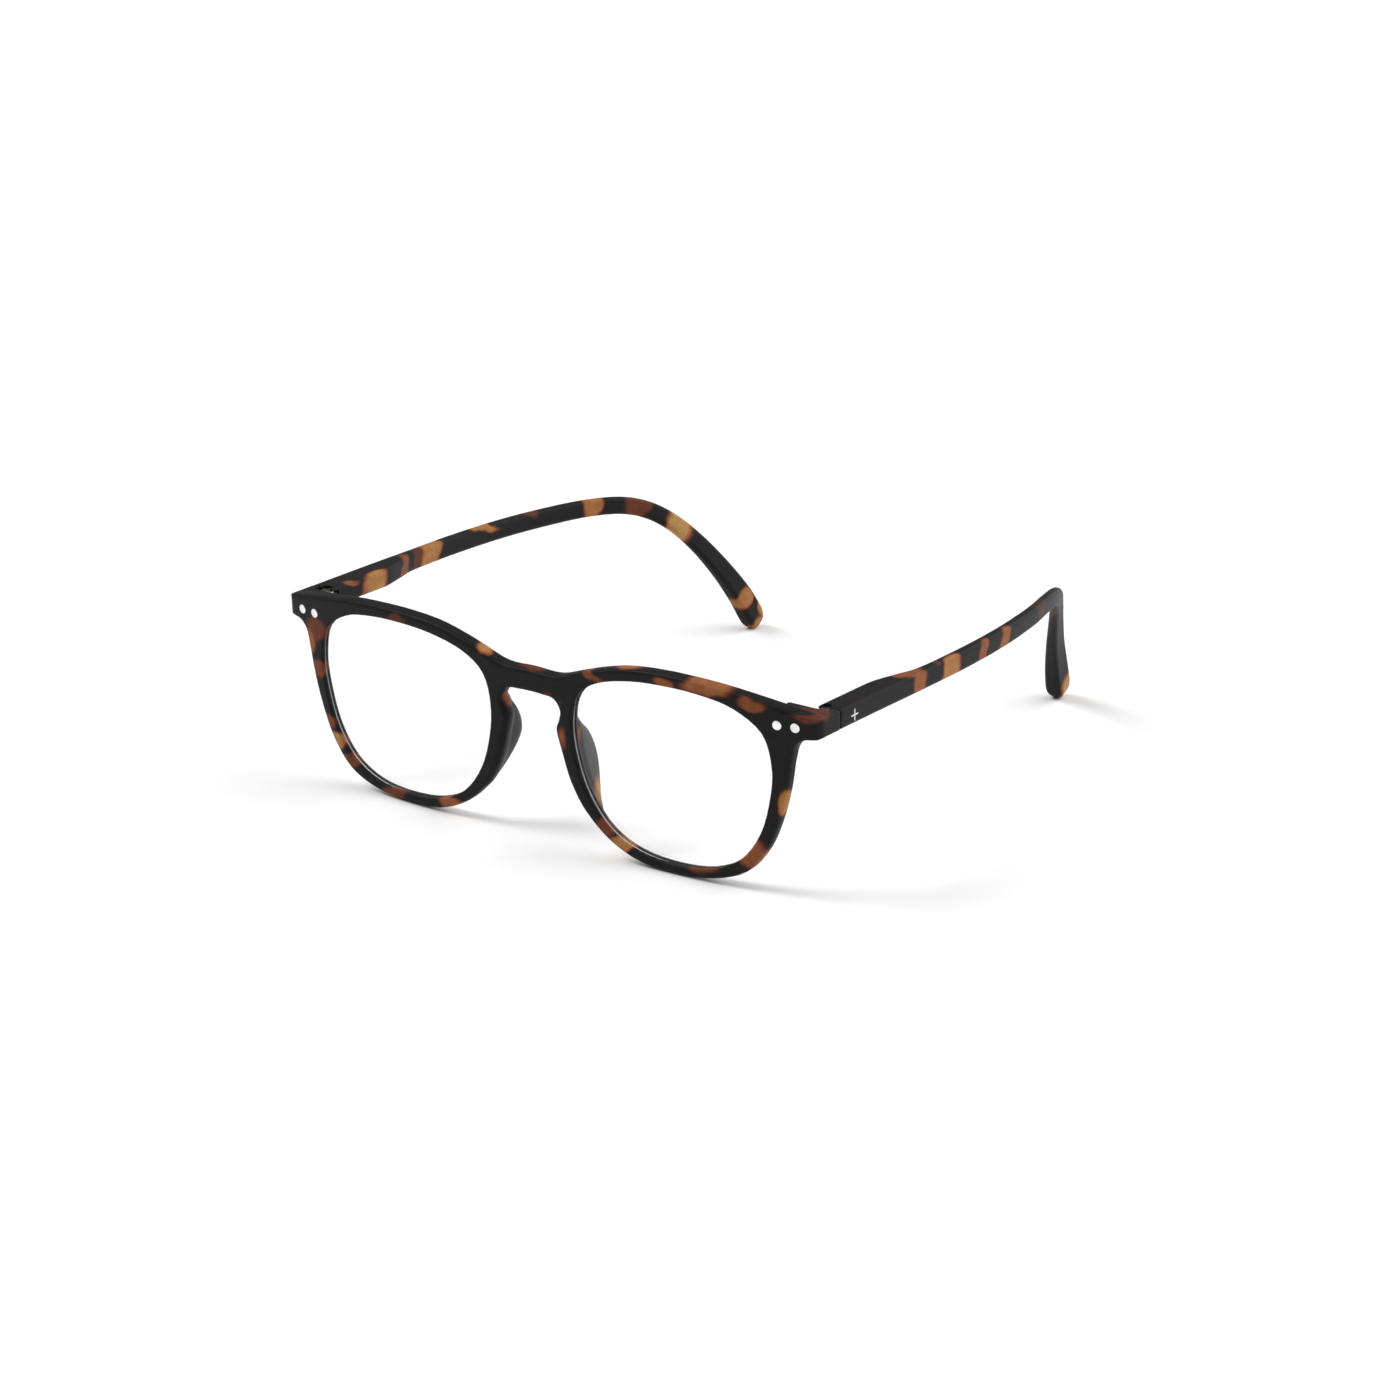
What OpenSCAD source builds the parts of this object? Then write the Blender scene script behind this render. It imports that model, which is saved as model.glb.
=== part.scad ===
// Folding reading glasses, stood on the rims and the temple tips.
// The origin is on the floor at the middle of the footprint, and x = 0 is the plane of
// symmetry. The lenses face -Y and the temples run back along +Y. "Right" is the +X side
// and "left" the -X side.
// Lengths are in millimetres and angles in degrees.

/* [Front] */
// Width across the outer faces of the end pieces
front_width = 141.4; // [140:0.2:143]
// Height of the front, from the bottom of the rims to their top
front_height = 45; // [44.4:0.1:45.6]
// Depth of a rim, from its front face to its back face
rim_depth = 3.4; // [3.3:0.1:3.8]
// Lean of the front: its top edge is further forward than its bottom
front_tilt = 3.3; // [2.8:0.1:3.8]
// Set-back of the face at its ends that comes from its gentle curve
gentle_wrap = 1.8; // [1.6:0.1:2]
// Further set-back at the ends, where the face turns towards the temples
end_wrap = 3.1; // [2.9:0.1:3.3]

/* [Lenses] */
// Lens thickness at its edge
lens_thickness = 1.6; // [1.4:0.1:1.8]
// Set-back of the lens behind the face of the rim
lens_setback = 1.1; // [0.9:0.1:1.2]
// Depth of the groove that holds the lens edge
groove_depth = 0.9; // [0.7:0.1:1]

/* [Hinges] */
// Hinge axis, measured in from the temple's outer face
axis_inset = 4; // [3.9:0.1:4.1]
// Hinge axis, measured back from the front's lower edge
axis_y = 11.4; // [11.3:0.05:11.5]
// Height of the hinge's middle above the floor
hinge_z = 38.68; // [38.6:0.02:38.8]
// Outer radius of a hinge knuckle
knuckle_r = 1.5; // [1.4:0.05:1.55]
// Shank radius of the hinge screw
screw_r = 0.7; // [0.6:0.05:0.75]
// Shank radius of the front's rivets
rivet_r = 0.7; // [0.6:0.05:0.75]
// Radius of a rivet's visible head
rivet_head_r = 1.03; // [0.95:0.01:1.1]

/* [Spring hinge] */
// Length of the spring cassette in the temple
cassette_length = 15; // [14.6:0.1:15.4]
// Radius of the pull rod
rod_r = 0.5; // [0.45:0.01:0.52]
// Radius of the spring wire
wire_r = 0.15; // [0.12:0.01:0.16]
// Turns of the spring
spring_turns = 8; // [6:1:9]

/* [Temples] */
// Height of the temple at the hinge
temple_height = 4.5; // [4.4:0.05:4.6]
// Thickness of the block that holds the spring hinge
block_thickness = 5.9; // [5.8:0.05:6]
// Radius of the temple's long edges
edge_r = 1; // [0.7:0.05:1.1]

/* [Hidden] */

$fn = 48;
half_width = front_width / 2;

// Everything is worked out from the front's lower edge, then moved forward by this much, so
// that the origin falls at the middle of the footprint
plan_middle_y = 71.51;

// Shades of the pieces
shell_shade = "#2c2522";
lens_shade = "#dfe8ea";
rivet_shade = "#e8e8e6";
hinge_shade = "#c9c4b8";
screw_shade = "#b9b9b5";
cassette_shade = "#9c9a94";
nut_shade = "#b08d4c";
spring_shade = "#a9acb0";

// The outline curves are drawn for a front of this width and height
width_scale = front_width / 141.4;
height_scale = front_height / 45;

// Small clearances: between parts fixed together, in a running fit, between moving parts
seat_gap = 0.02;
running_gap = 0.05;
free_gap = 0.1;

// Cutting shapes and blanks for the front run between these two depths
cut_start = -5;
cut_end = 20;

// The hinge stands on this axis, and the butt joint between front and temple is at seam_y
axis_x = half_width - axis_inset;
seam_y = axis_y - 0.6;
shelf_y = axis_y - 3.6;
leaf_thickness = 1;
leaf_back_y = shelf_y + leaf_thickness;
leaf_inset = 10.7;
swing_room = 0.25;
cheek_x = axis_x + knuckle_r + swing_room;

// Plastic runs over and under the hinge, as far back as this on the front
roof_back_y = axis_y - 2.2;

// The hinge stack: knuckle, eye, knuckle, from the bottom to the top
stack_height = 3;
eye_height = 1.1;
knuckle_height = (stack_height - eye_height) / 2 - free_gap;
stack_bottom = hinge_z - stack_height / 2;
stack_top = hinge_z + stack_height / 2;
pocket_height = stack_height + 2 * free_gap;

screw_head_r = screw_r + 0.45;
screw_head_height = 0.4;
screw_end_gap = 0.05;

rivet_inset = [5.1, 9.1];
rivet_z = hinge_z - 0.25;
rivet_head_back_y = 4.2;
rivet_tail = 0.2;

// Distances behind the hinge axis, for the pieces of the spring hinge
cassette_start = 2;
cassette_end = cassette_start + cassette_length;
cassette_wall = 1.2;
cassette_end_wall = 0.8;
cassette_bore_r = 1.1;
cassette_size = [2.7, 3.1];
rod_start = 1;
nut_start = 14;
nut_length = 1.2;
coil_gap = 0.12;
rod_end = 15.6;

// ---------- Curves ----------

// A point at t between b and c on the smooth curve that passes through a, b, c and d
function between(a, b, c, d, t) =
    0.5 * (2 * b + (c - a) * t + (2 * a - 5 * b + 4 * c - d) * t * t
    + (3 * b - a - 3 * c + d) * t * t * t);

// A smooth closed curve through the points
function closed_curve(p, steps) = [
    for (i = [0 : len(p) - 1], j = [0 : steps - 1])
        between(p[(i + len(p) - 1) % len(p)], p[i], p[(i + 1) % len(p)], p[(i + 2) % len(p)], j / steps)
];

// A smooth open curve from the second point to the last but one
function open_curve(p, steps) = concat(
    [for (i = [1 : len(p) - 3], j = [0 : steps - 1])
        between(p[i - 1], p[i], p[i + 1], p[i + 2], j / steps)],
    [p[len(p) - 2]]);

function sized(p) = [for (q = p) [q.x * width_scale, q.y * height_scale]];

// The closed outline p, moved outwards by d along its normals (p runs anticlockwise)
function grown(p, d) = [
    for (i = [0 : len(p) - 1])
        let (t = p[(i + 1) % len(p)] - p[(i + len(p) - 1) % len(p)])
        p[i] + d * [t.y, -t.x] / norm(t)
];

// ---------- Outlines of the front, seen from the front ----------

// Lens opening on the right side
opening = closed_curve(sized([
    [59.4, 22], [59.9, 29], [57.9, 36], [51.5, 40.3], [44, 41.9], [35.5, 42.3], [26.5, 41.7],
    [18, 39.6], [12.6, 35.7], [10.9, 29], [11.6, 21.5], [14.4, 13.4], [19.7, 6.7], [27, 3.2],
    [36, 2.2], [45, 3.1], [52.2, 6.8], [57, 13.6]
]), 4);

// Top edge, from the middle to the end piece. The first and last points only steer the curve
top_edge = open_curve([
    [-7, 39], [0, 39.1], [7, 39], [13, 40.9], [18.5, 42.7], [26, 44.4], [36, 45],
    [48, 44.5], [59, 43], [68.9, 41.1], [72, 40.4]
], 4);

// End of the end piece, and the corner below it
end_edge = [[69.9, 40.5], [70.5, 39.7], [70.6, 38.5], [70.5, 37.4], [70, 36.7]];

// From below the end piece, round the rim and up the side of the nose to the bridge
lower_edge = open_curve([
    [71, 36.8], [69, 36.2], [66.9, 35.6], [65.2, 33.9], [64.4, 30.5], [63.3, 24], [61.4, 17],
    [58.3, 9.8], [53.2, 3.9], [45.5, 0.9], [36, 0], [27, 0.8], [19.5, 4], [13.5, 9.3],
    [9.8, 15.5], [7.8, 22], [6.6, 26.6], [7.3, 28.7], [7.7, 31.2], [6.2, 33.5], [3, 33.9],
    [0, 34], [-3, 33.9]
], 4);

half_outline = sized(concat(top_edge, end_edge, lower_edge));
front_outline = concat(half_outline, [for (i = [len(half_outline) - 2 : -1 : 1])
    [-half_outline[i].x, half_outline[i].y]]);

// Set-back of the face at a distance u from the middle
function set_back(u) = gentle_wrap * pow(u / 70, 2) + end_wrap * pow(u / 70, 4);

// The front leans about the floor line, then is let down so that the rims stand on the floor
rim_bottom_u = 36;
front_drop = set_back(rim_bottom_u) * sin(front_tilt);

// The nose pad at heights down the nose: [height, front edge, rear edge, depth of rear edge]
pad_sections = [
    [31, 8, 8.9, 4], [29.2, 7.6, 8.9, 4.9], [27.3, 6.9, 8.8, 6.3], [25, 7.1, 9.2, 8],
    [22.4, 7.7, 9.5, 9.1], [19.8, 8.4, 10, 9.5], [17, 9.3, 10.9, 8.9], [14, 10.6, 12.2, 7.4],
    [11.4, 12.1, 13.6, 5.7], [9, 13.9, 15.2, 4.4]
];

// The right temple: [back, height, inset of the outer face, thickness, height of section]
temple_stations = [
    [-10, 38.8, 0, 5.9, 4.5], [11, 38.68, 0, 5.9, 4.5], [21, 38.6, 0, 5.9, 4.5],
    [30, 38.5, 0, 5.8, 4.5], [37, 38.4, 0, 4.3, 4.5], [44, 38.3, 0.05, 2.9, 4.45],
    [60, 38.15, 0.25, 2.7, 4.4], [77, 37.9, 1.5, 2.6, 4.35], [93, 37.5, 4.1, 2.5, 4.25],
    [103.7, 37.05, 6.9, 2.4, 4.15], [112.2, 35.9, 9.8, 2.3, 4.15],
    [118.6, 33.5, 12.8, 2.25, 4.15], [124.1, 29.4, 16, 2.3, 4.25],
    [129.5, 23.4, 19.2, 2.5, 4.6], [134.6, 16.3, 22, 3, 5.1], [138.9, 9.6, 23.8, 3.7, 5.6],
    [141.6, 4.7, 24.7, 4.1, 5.7], [143, 2.1, 25.1, 4.2, 5.7],
    [144, 0.197, 25.4, 4.2, 5.6], [145.5, -2.6, 25.9, 4.1, 5.5]
];
thickness_scale = block_thickness / 5.9;
section_scale = temple_height / 4.5;

// ---------- Building blocks ----------

// The outline p stood upright and made deep along Y
module upright(p, from_y, to_y) {
    translate([0, to_y, 0])
    rotate([90, 0, 0])
    linear_extrude(height = to_y - from_y)
    polygon(p);
}

// The space between two depths behind the curved face
module behind_face(near, far) {
    reach = 76;
    step = 4;
    plan = concat(
        [for (u = [-reach : step : reach]) [u, set_back(u) + near]],
        [for (u = [reach : -step : -reach]) [u, set_back(u) + far]]);
    translate([0, 0, -10])
    linear_extrude(height = 70)
    polygon(plan);
}

module leaned() {
    translate([0, 0, -front_drop])
    rotate([front_tilt, 0, 0])
    children();
}

// A solid skinned over rings of points that all have the same count
module skinned(rings) {
    n = len(rings[0]);
    m = len(rings);
    points = [for (r = rings) each r];
    sides = [for (i = [0 : m - 2], j = [0 : n - 1], half = [0, 1])
        let (a = i * n + j, b = i * n + (j + 1) % n, c = a + n, d = b + n)
        half == 0 ? [a, b, d] : [a, d, c]];
    first = [for (j = [n - 1 : -1 : 0]) j];
    last = [for (j = [0 : n - 1]) (m - 1) * n + j];
    polyhedron(points, concat([first], sides, [last]));
}

// A round pin along +Y at (x, z), between two depths
module pin(x, z, r, from_y, to_y) {
    translate([x, from_y, z])
    rotate([-90, 0, 0])
    cylinder(r = r, h = to_y - from_y);
}

// A rod along +Y from the hinge axis, between two distances behind it
module rod(r, from, to) {
    pin(axis_x, hinge_z, r, axis_y + from, axis_y + to);
}

// A bar along +Y behind the hinge axis, with the given width and height
module bar(size, from, to) {
    translate([axis_x - size.x / 2, axis_y + from, hinge_z - size.y / 2])
    cube([size.x, to - from, size.y]);
}

module on_axis(z) {
    translate([axis_x, axis_y, z])
    children();
}

module left_side() {
    mirror([1, 0, 0])
    children();
}

// Moves a finished piece from the drawing position to its place about the origin
module placed() {
    translate([0, -plan_middle_y, 0])
    children();
}

module placed_left() {
    placed()
    left_side()
    children();
}

// ---------- Front ----------

module rim_plate() {
    intersection() {
        behind_face(0, rim_depth);
        upright(front_outline, cut_start, cut_end);
    }
}

module lens_hole() {
    upright(opening, cut_start, cut_end);
    intersection() {
        behind_face(lens_setback - seat_gap, lens_setback + lens_thickness + seat_gap);
        upright(grown(opening, groove_depth), cut_start, cut_end);
    }
}

// One nose pad, moulded with the rim and flaring back from it
module nose_pad() {
    skinned([for (s = pad_sections)
        let (w = s[0], near = s[1], rear = s[2], depth = s[3])
        [
            [rear + 1.4, depth * 0.62 + 0.5, w], [rear + 1.1, depth - 0.5, w],
            [rear + 0.5, depth, w], [rear - 0.1, depth - 0.3, w],
            [near + (rear - near) * 0.6 - 0.3, (depth + 2) * 0.6, w], [near + 0.1, 2.6, w],
            [near, 1, w], [near + 2, 1, w], [near + 2.2, 3, w]
        ]]);
}

// The end piece behind the rim: a gusset, a pocket for the hinge leaf and an outer cheek
module end_block() {
    inner_x = half_width - 11.7;
    shelf_x = inner_x + 0.7;
    beyond = half_width + 5;
    plan = [
        [inner_x, 0], [beyond, 0], [beyond, seam_y], [cheek_x, seam_y],
        [cheek_x, roof_back_y], [inner_x, roof_back_y]
    ];
    r = 0.8;
    x = half_width - r;
    low = hinge_z - temple_height / 2;
    high = hinge_z + temple_height / 2;
    profile = concat(
        [[inner_x - 1, high], [inner_x - 1, low]],
        [for (a = [-90 : 15 : 0]) [x + r * cos(a), low + r + r * sin(a)]],
        [for (a = [0 : 15 : 90]) [x + r * cos(a), high - r + r * sin(a)]]);
    difference() {
        intersection() {
            linear_extrude(height = 60)
            polygon(plan);
            upright(profile, cut_start, cut_end);
            leaned()
            behind_face(0.4, cut_end);
        }
        translate([shelf_x, shelf_y, hinge_z - pocket_height / 2])
        cube([cheek_x - shelf_x, cut_end, pocket_height]);
    }
}

module rivet_holes() {
    for (inset = rivet_inset) {
        pin(half_width - inset, rivet_z, rivet_head_r + seat_gap, cut_start,
            rivet_head_back_y + seat_gap);
        pin(half_width - inset, rivet_z, rivet_r + seat_gap, cut_start, cut_end);
    }
}

module front_shell() {
    difference() {
        union() {
            leaned() {
                rim_plate();
                nose_pad();
                left_side() nose_pad();
            }
            end_block();
            left_side() end_block();
        }
        leaned() {
            lens_hole();
            left_side() lens_hole();
        }
        rivet_holes();
        left_side() rivet_holes();
    }
}

module lens() {
    leaned()
    intersection() {
        behind_face(lens_setback, lens_setback + lens_thickness);
        upright(grown(opening, groove_depth - seat_gap), cut_start, cut_end);
    }
}

// A rivet with a head flush with the face and a shank that holds the hinge leaf
module rivet(inset) {
    intersection() {
        union() {
            pin(half_width - inset, rivet_z, rivet_head_r, cut_start, rivet_head_back_y);
            pin(half_width - inset, rivet_z, rivet_r, cut_start, leaf_back_y + rivet_tail);
        }
        leaned()
        behind_face(0, cut_end);
    }
}

// ---------- Hinge ----------

module leaf_knuckle(z) {
    on_axis(z)
    cylinder(r = knuckle_r, h = knuckle_height);
    translate([axis_x - knuckle_r, shelf_y, z])
    cube([2 * knuckle_r, axis_y - shelf_y, knuckle_height]);
}

module front_leaf() {
    margin = 0.15;
    leaf_x = half_width - leaf_inset;
    head_room = screw_head_height + screw_end_gap;
    difference() {
        union() {
            translate([leaf_x, shelf_y, stack_bottom])
            cube([cheek_x - margin - leaf_x, leaf_thickness, stack_height]);
            leaf_knuckle(stack_bottom);
            leaf_knuckle(stack_top - knuckle_height);
        }
        on_axis(stack_bottom - 1)
        cylinder(r = screw_r + seat_gap, h = stack_height + 2);
        on_axis(stack_top - head_room)
        cylinder(r = screw_head_r + seat_gap, h = 2);
        for (inset = rivet_inset)
            pin(half_width - inset, rivet_z, rivet_r + seat_gap, 0,
                leaf_back_y + rivet_tail + seat_gap);
    }
}

module screw() {
    slot = [4, 0.3, 0.2];
    top = stack_top - screw_end_gap;
    difference() {
        union() {
            on_axis(stack_bottom + screw_end_gap)
            cylinder(r = screw_r, h = stack_height - 2 * screw_end_gap);
            on_axis(top - screw_head_height)
            cylinder(r = screw_head_r, h = screw_head_height);
        }
        on_axis(top - slot.z)
        translate([-slot.x / 2, -slot.y / 2, 0])
        cube([slot.x, slot.y, slot.z + 1]);
    }
}

// The eye that turns on the screw, with the rod that slides in the cassette
module hinge_eye() {
    difference() {
        union() {
            on_axis(hinge_z - eye_height / 2)
            cylinder(r = knuckle_r, h = eye_height);
            rod(rod_r, rod_start, rod_end);
        }
        on_axis(stack_bottom)
        cylinder(r = screw_r + running_gap, h = stack_height);
    }
}

module nut() {
    difference() {
        rod(cassette_bore_r - coil_gap, nut_start, nut_start + nut_length);
        rod(rod_r + seat_gap, nut_start - 1, rod_end);
    }
}

// A coil round the rod, between the cassette's front wall and the nut
module coil() {
    sides = 6;
    steps = 12;
    start = cassette_start + cassette_wall + wire_r + seat_gap;
    finish = nut_start - wire_r - seat_gap;
    coil_r = cassette_bore_r - coil_gap - wire_r;
    translate([axis_x, axis_y, hinge_z])
    skinned([for (i = [0 : steps * spring_turns])
        let (a = i * 360 / steps, y = start + (finish - start) * i / (steps * spring_turns))
        [for (j = [0 : sides - 1])
            let (b = -j * 360 / sides, r = coil_r + wire_r * cos(b))
            [r * cos(a), y + wire_r * sin(b), r * sin(a)]]]);
}

// The case let into the temple, with a mouth for the rod and a bore for the spring
module cassette() {
    difference() {
        bar(cassette_size, cassette_start, cassette_end);
        rod(rod_r + running_gap, rod_start, cassette_start + 2 * cassette_wall);
        rod(cassette_bore_r, cassette_start + cassette_wall, cassette_end - cassette_end_wall);
    }
}

// ---------- Temples ----------

// A rounded rectangle in a plane square to the way the temple runs
function ring(centre, along, thick, high) =
    let (
        up = [0, -along.z, along.y] / norm([along.y, along.z]),
        side = cross(along, up),
        r = min(edge_r, 0.49 * thick, 0.49 * high),
        corners = [[1, 1], [-1, 1], [-1, -1], [1, -1]]
    )
    [for (c = [0 : 3], k = [0 : 3])
        let (
            a = c * 90 + k * 30,
            x = corners[c].x * (thick / 2 - r) + r * cos(a),
            z = corners[c].y * (high / 2 - r) + r * sin(a)
        )
        centre + x * side + z * up];

temple_path = open_curve(temple_stations, 3);

// The last rings shrink, so that the tip is round
tip_rings = 6;
function shrink(i) =
    let (k = i - (len(temple_path) - 1 - tip_rings))
    k <= 0 ? 1 : max(0.15, pow(1 - pow(k / tip_rings, 2.2), 0.48));

temple_points = [for (s = temple_path)
    [half_width - s[2] - s[3] / 2 * thickness_scale, s[0], s[1]]];

function direction(i) =
    let (
        a = temple_points[max(i - 1, 0)],
        b = temple_points[min(i + 1, len(temple_points) - 1)]
    )
    (b - a) / norm(b - a);

module temple_body() {
    skinned([for (i = [0 : len(temple_path) - 1])
        ring(temple_points[i], i == 0 ? [0, 1, 0] : direction(i),
            temple_path[i][3] * thickness_scale * shrink(i),
            temple_path[i][4] * section_scale * shrink(i))]);
}

module temple() {
    room_width = 6;
    difference() {
        temple_body();
        translate([cheek_x - room_width, 0, hinge_z - pocket_height / 2])
        cube([room_width, axis_y + knuckle_r + swing_room, pocket_height]);
        on_axis(hinge_z)
        cylinder(r = screw_head_r + free_gap, h = temple_height);
        bar([cassette_size.x + 2 * seat_gap, cassette_size.y + 2 * seat_gap], 0,
            cassette_end + seat_gap);
    }
}

// ---------- Pieces ----------

module front_frame() {
    color(shell_shade) placed() front_shell();
}

module right_lens() {
    color(lens_shade, 0.35) placed() lens();
}

module left_lens() {
    color(lens_shade, 0.35) placed_left() lens();
}

module right_outer_rivet() {
    color(rivet_shade) placed() rivet(rivet_inset[0]);
}

module left_outer_rivet() {
    color(rivet_shade) placed_left() rivet(rivet_inset[0]);
}

module right_inner_rivet() {
    color(rivet_shade) placed() rivet(rivet_inset[1]);
}

module left_inner_rivet() {
    color(rivet_shade) placed_left() rivet(rivet_inset[1]);
}

module right_front_hinge_leaf() {
    color(hinge_shade) placed() front_leaf();
}

module left_front_hinge_leaf() {
    color(hinge_shade) placed_left() front_leaf();
}

module right_hinge_screw() {
    color(screw_shade) placed() screw();
}

module left_hinge_screw() {
    color(screw_shade) placed_left() screw();
}

module right_hinge_carriage() {
    color(hinge_shade) placed() hinge_eye();
}

module left_hinge_carriage() {
    color(hinge_shade) placed_left() hinge_eye();
}

module right_rod_nut() {
    color(nut_shade) placed() nut();
}

module left_rod_nut() {
    color(nut_shade) placed_left() nut();
}

module right_hinge_spring() {
    color(spring_shade) placed() coil();
}

module left_hinge_spring() {
    color(spring_shade) placed_left() coil();
}

module right_spring_cassette() {
    color(cassette_shade) placed() cassette();
}

module left_spring_cassette() {
    color(cassette_shade) placed_left() cassette();
}

module right_temple() {
    color(shell_shade) placed() temple();
}

module left_temple() {
    color(shell_shade) placed_left() temple();
}

front_frame();
right_lens();
left_lens();
right_outer_rivet();
left_outer_rivet();
right_inner_rivet();
left_inner_rivet();
right_front_hinge_leaf();
left_front_hinge_leaf();
right_hinge_screw();
left_hinge_screw();
right_hinge_carriage();
left_hinge_carriage();
right_rod_nut();
left_rod_nut();
right_hinge_spring();
left_hinge_spring();
right_spring_cassette();
left_spring_cassette();
right_temple();
left_temple();
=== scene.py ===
import math

import bmesh
import bpy
import numpy as np
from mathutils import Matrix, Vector


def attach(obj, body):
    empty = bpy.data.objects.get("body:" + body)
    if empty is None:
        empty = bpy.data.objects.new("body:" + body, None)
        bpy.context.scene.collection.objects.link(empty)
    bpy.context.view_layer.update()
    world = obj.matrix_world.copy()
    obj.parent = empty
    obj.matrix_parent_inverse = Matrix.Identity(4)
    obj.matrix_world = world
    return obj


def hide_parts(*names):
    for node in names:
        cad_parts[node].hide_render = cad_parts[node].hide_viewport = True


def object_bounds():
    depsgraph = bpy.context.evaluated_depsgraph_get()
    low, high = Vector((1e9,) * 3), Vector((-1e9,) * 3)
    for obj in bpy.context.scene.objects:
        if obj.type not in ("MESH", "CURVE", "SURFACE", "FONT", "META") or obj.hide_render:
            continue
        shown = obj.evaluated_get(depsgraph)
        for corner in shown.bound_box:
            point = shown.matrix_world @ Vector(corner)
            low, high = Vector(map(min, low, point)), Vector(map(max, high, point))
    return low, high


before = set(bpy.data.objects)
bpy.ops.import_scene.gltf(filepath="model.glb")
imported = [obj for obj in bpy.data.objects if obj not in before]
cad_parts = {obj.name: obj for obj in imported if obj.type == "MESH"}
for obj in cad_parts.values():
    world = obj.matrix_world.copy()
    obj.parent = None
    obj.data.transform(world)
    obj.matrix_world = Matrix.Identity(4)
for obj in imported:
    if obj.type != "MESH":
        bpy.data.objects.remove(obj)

cad_low, cad_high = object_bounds()

# The shapes below are worked out in millimetres, in the drawing position of the CAD source,
# and moved forward by PLAN_MIDDLE_Y into the row frame.
MM = 0.001
PLAN_MIDDLE_Y = 71.51
HALF_WIDTH = 70.7
RIM_DEPTH = 3.4
FRONT_TILT = math.radians(3.3)
GENTLE_WRAP = 1.8
END_WRAP = 3.1
HINGE_Z = 38.68
AXIS_X = HALF_WIDTH - 4
AXIS_Y = 11.4
SEAM_Y = AXIS_Y - 0.6
SHELF_Y = AXIS_Y - 3.6
ROOF_BACK_Y = AXIS_Y - 2.2
POCKET_HEIGHT = 3.2
SCREW_HOLE_R = 1.25
KNUCKLE_ROOM = 1.75
CHEEK_X = AXIS_X + KNUCKLE_ROOM
TEMPLE_HEIGHT = 4.5
GROOVE_DEPTH = 0.9
LENS_SETBACK = 1.1
LENS_THICKNESS = 1.6
RIVET_INSETS = {"outer": 5.1, "inner": 9.1}
RIVET_Z = HINGE_Z - 0.25
SIDES = {"right": 1, "left": -1}

OPENING = [
    (59.4, 22), (59.9, 29), (57.9, 36), (51.5, 40.3), (44, 41.9), (35.5, 42.3), (26.5, 41.7),
    (18, 39.6), (12.6, 35.7), (10.9, 29), (11.6, 21.5), (14.4, 13.4), (19.7, 6.7), (27, 3.2),
    (36, 2.2), (45, 3.1), (52.2, 6.8), (57, 13.6),
]
TOP_EDGE = [
    (-7, 39), (0, 39.1), (7, 39), (13, 40.9), (18.5, 42.7), (26, 44.4), (36, 45),
    (48, 44.5), (59, 43), (68.9, 41.1), (72, 40.4),
]
END_EDGE = [(69.9, 40.5), (70.5, 39.7), (70.6, 38.5), (70.5, 37.4), (70, 36.7)]
LOWER_EDGE = [
    (71, 36.8), (69, 36.2), (66.9, 35.6), (65.2, 33.9), (64.4, 30.5), (63.3, 24), (61.4, 17),
    (58.3, 9.8), (53.2, 3.9), (45.5, 0.9), (36, 0), (27, 0.8), (19.5, 4), (13.5, 9.3),
    (9.8, 15.5), (7.8, 22), (6.6, 26.6), (7.3, 28.7), (7.7, 31.2), (6.2, 33.5), (3, 33.9),
    (0, 34), (-3, 33.9),
]
# Nose pad: height, front edge, rear edge, depth of the rear edge, from the top down
PAD = [
    (31, 8, 8.9, 4), (29.2, 7.6, 8.9, 4.9), (27.3, 6.9, 8.8, 6.3), (25, 7.1, 9.2, 8),
    (22.4, 7.7, 9.5, 9.1), (19.8, 8.4, 10, 9.5), (17, 9.3, 10.9, 8.9), (14, 10.6, 12.2, 7.4),
    (11.4, 12.1, 13.6, 5.7), (9, 13.9, 15.2, 4.4),
]
# Right temple: distance back, height, inset of the outer face, thickness, height of section
TEMPLE = [
    (-10, 38.8, 0, 5.9, 4.5), (11, 38.68, 0, 5.9, 4.5), (21, 38.6, 0, 5.9, 4.5),
    (30, 38.5, 0, 5.8, 4.5), (37, 38.4, 0, 4.3, 4.5), (44, 38.3, 0.05, 2.9, 4.45),
    (60, 38.15, 0.25, 2.7, 4.4), (77, 37.9, 1.5, 2.6, 4.35), (93, 37.5, 4.1, 2.5, 4.25),
    (103.7, 37.05, 6.9, 2.4, 4.15), (112.2, 35.9, 9.8, 2.3, 4.15),
    (118.6, 33.5, 12.8, 2.25, 4.15), (124.1, 29.4, 16, 2.3, 4.25),
    (129.5, 23.4, 19.2, 2.5, 4.6), (134.6, 16.3, 22, 3, 5.1), (138.9, 9.6, 23.8, 3.7, 5.6),
    (141.6, 4.7, 24.7, 4.1, 5.7), (143, 2.1, 25.1, 4.2, 5.7), (144, 0.197, 25.4, 4.2, 5.6),
    (145.5, -2.6, 25.9, 4.1, 5.5),
]


# ---------- Curves and fields ----------

def smooth_curve(points, steps, closed=False):
    """A smooth curve through the points. An open one leaves out the first and last point."""
    p = np.array(points, float)
    n = len(p)
    out = []
    for i in range(n) if closed else range(1, n - 2):
        a, b, c, d = (p[(i + k) % n] for k in (-1, 0, 1, 2))
        for t in np.arange(steps) / steps:
            out.append(
                0.5 * (2 * b + (c - a) * t + (2 * a - 5 * b + 4 * c - d) * t * t
                       + (3 * b - a - 3 * c + d) * t ** 3)
            )
    if not closed:
        out.append(p[n - 2])
    return np.array(out)


def set_back(u):
    """Set-back of the front's face at a distance u from the middle."""
    return GENTLE_WRAP * (u / 70) ** 2 + END_WRAP * (u / 70) ** 4


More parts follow.
